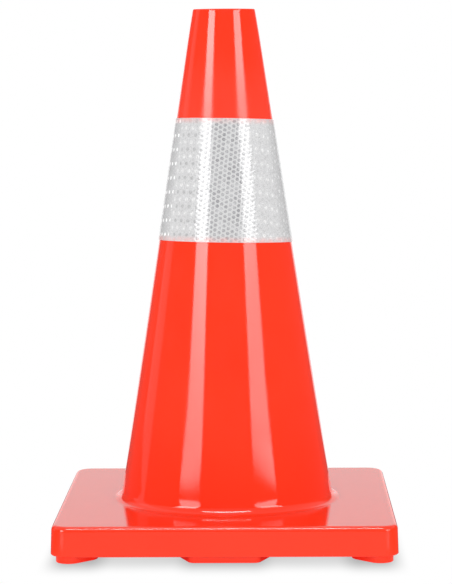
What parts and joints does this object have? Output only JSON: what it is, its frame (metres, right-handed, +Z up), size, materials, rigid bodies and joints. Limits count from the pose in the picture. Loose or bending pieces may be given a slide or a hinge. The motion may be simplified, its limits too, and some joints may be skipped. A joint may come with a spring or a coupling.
{
  "type": "traffic cone",
  "caption": "Moulded orange PVC traffic cone with a square ribbed base on low standing pads and a slip-on white reflective collar.",
  "frame": {"origin": "centre of the footprint on the ground plane, under the cone's axis", "axes": "+Z up along the cone's axis; the sides of the square base are parallel to X and Y; -Y is the front, +Y the side with the collar's seam"},
  "size_m": [0.2886, 0.2886, 0.4572],
  "materials": {
    "cone_pvc": "glossy injection-moulded flexible PVC, fluorescent red-orange",
    "base_pvc": "the same glossy flexible PVC, a flat plate and skirt with slight moulding sink",
    "pad_pvc": "the same flexible PVC, a little less polished",
    "collar_vinyl": "white flexible vinyl backing, satin",
    "prism_film": "clear glossy face over silvery micro-prism cells welded in a small honeycomb",
    "seam_vinyl": "heat-pressed white vinyl tape, fine pressed grain"
  },
  "bodies": {
    "cone": {"cone_body": "cone_pvc", "base": "base_pvc", "corner_foot_front_left": "pad_pvc", "corner_foot_front_right": "pad_pvc", "corner_foot_back_right": "pad_pvc", "corner_foot_back_left": "pad_pvc", "side_foot_front": "pad_pvc", "side_foot_right": "pad_pvc", "side_foot_back": "pad_pvc", "side_foot_left": "pad_pvc"},
    "collar": {"collar_backing": "collar_vinyl", "collar_prism_film": "prism_film", "collar_seam_strip": "seam_vinyl"}
  },
  "joints": [
    {"name": "collar_slide", "type": "slide", "parent": "cone", "child": "collar", "axis": [0, 0, 1], "range_m": [0, 0.205]}
  ]
}
